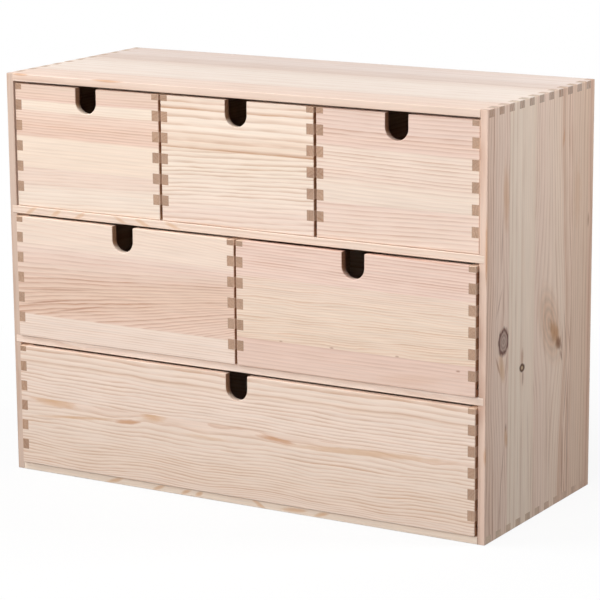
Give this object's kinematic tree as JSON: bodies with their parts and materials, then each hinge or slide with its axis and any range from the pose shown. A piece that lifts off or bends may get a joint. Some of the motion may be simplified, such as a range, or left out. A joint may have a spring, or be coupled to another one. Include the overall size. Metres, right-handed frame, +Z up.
{
  "type": "desktop mini drawers",
  "caption": "Low wooden desktop chest of box-jointed mini drawers in three rows, with half-round finger notches, a finger-jointed case, housed shelves and a grooved back.",
  "frame": {"origin": "centre of the case's bottom face, on the surface it stands on", "axes": "+Z up, +X to the right along the width when facing the drawers, -Y out of the front, the way the drawers open"},
  "size_m": [0.42, 0.1828, 0.32],
  "materials": {
    "case_pine": "untreated, sanded",
    "shelf_pine": "untreated, sanded",
    "front_pine": "untreated, sanded",
    "drawer_pine": "untreated, sanded",
    "plywood": "untreated, sanded"
  },
  "bodies": {
    "case": {"top_board": "case_pine", "bottom_board": "case_pine", "left_side": "case_pine", "right_side": "case_pine", "upper_shelf": "shelf_pine", "lower_shelf": "shelf_pine", "back_panel": "plywood"},
    "upper_left_drawer": {"upper_left_drawer_front": "front_pine", "upper_left_drawer_back": "drawer_pine", "upper_left_drawer_left_side": "drawer_pine", "upper_left_drawer_right_side": "drawer_pine", "upper_left_drawer_floor": "plywood"},
    "upper_middle_drawer": {"upper_middle_drawer_front": "front_pine", "upper_middle_drawer_back": "drawer_pine", "upper_middle_drawer_left_side": "drawer_pine", "upper_middle_drawer_right_side": "drawer_pine", "upper_middle_drawer_floor": "plywood"},
    "upper_right_drawer": {"upper_right_drawer_front": "front_pine", "upper_right_drawer_back": "drawer_pine", "upper_right_drawer_left_side": "drawer_pine", "upper_right_drawer_right_side": "drawer_pine", "upper_right_drawer_floor": "plywood"},
    "middle_left_drawer": {"middle_left_drawer_front": "front_pine", "middle_left_drawer_back": "drawer_pine", "middle_left_drawer_left_side": "drawer_pine", "middle_left_drawer_right_side": "drawer_pine", "middle_left_drawer_floor": "plywood"},
    "middle_right_drawer": {"middle_right_drawer_front": "front_pine", "middle_right_drawer_back": "drawer_pine", "middle_right_drawer_left_side": "drawer_pine", "middle_right_drawer_right_side": "drawer_pine", "middle_right_drawer_floor": "plywood"},
    "lower_drawer": {"lower_drawer_front": "front_pine", "lower_drawer_back": "drawer_pine", "lower_drawer_left_side": "drawer_pine", "lower_drawer_right_side": "drawer_pine", "lower_drawer_floor": "plywood"}
  },
  "joints": [
    {"name": "upper_left_slide", "type": "slide", "parent": "case", "child": "upper_left_drawer", "axis": [0, -1, 0], "range_m": [-0.0006, 0.1294]},
    {"name": "upper_middle_slide", "type": "slide", "parent": "case", "child": "upper_middle_drawer", "axis": [0, -1, 0], "range_m": [-0.0007, 0.1293]},
    {"name": "upper_right_slide", "type": "slide", "parent": "case", "child": "upper_right_drawer", "axis": [0, -1, 0], "range_m": [-0.0005, 0.1295]},
    {"name": "middle_left_slide", "type": "slide", "parent": "case", "child": "middle_left_drawer", "axis": [0, -1, 0], "range_m": [-0.0042, 0.1258]},
    {"name": "middle_right_slide", "type": "slide", "parent": "case", "child": "middle_right_drawer", "axis": [0, -1, 0], "range_m": [-0.0048, 0.1252]},
    {"name": "lower_slide", "type": "slide", "parent": "case", "child": "lower_drawer", "axis": [0, -1, 0], "range_m": [-0.0045, 0.1255]}
  ]
}
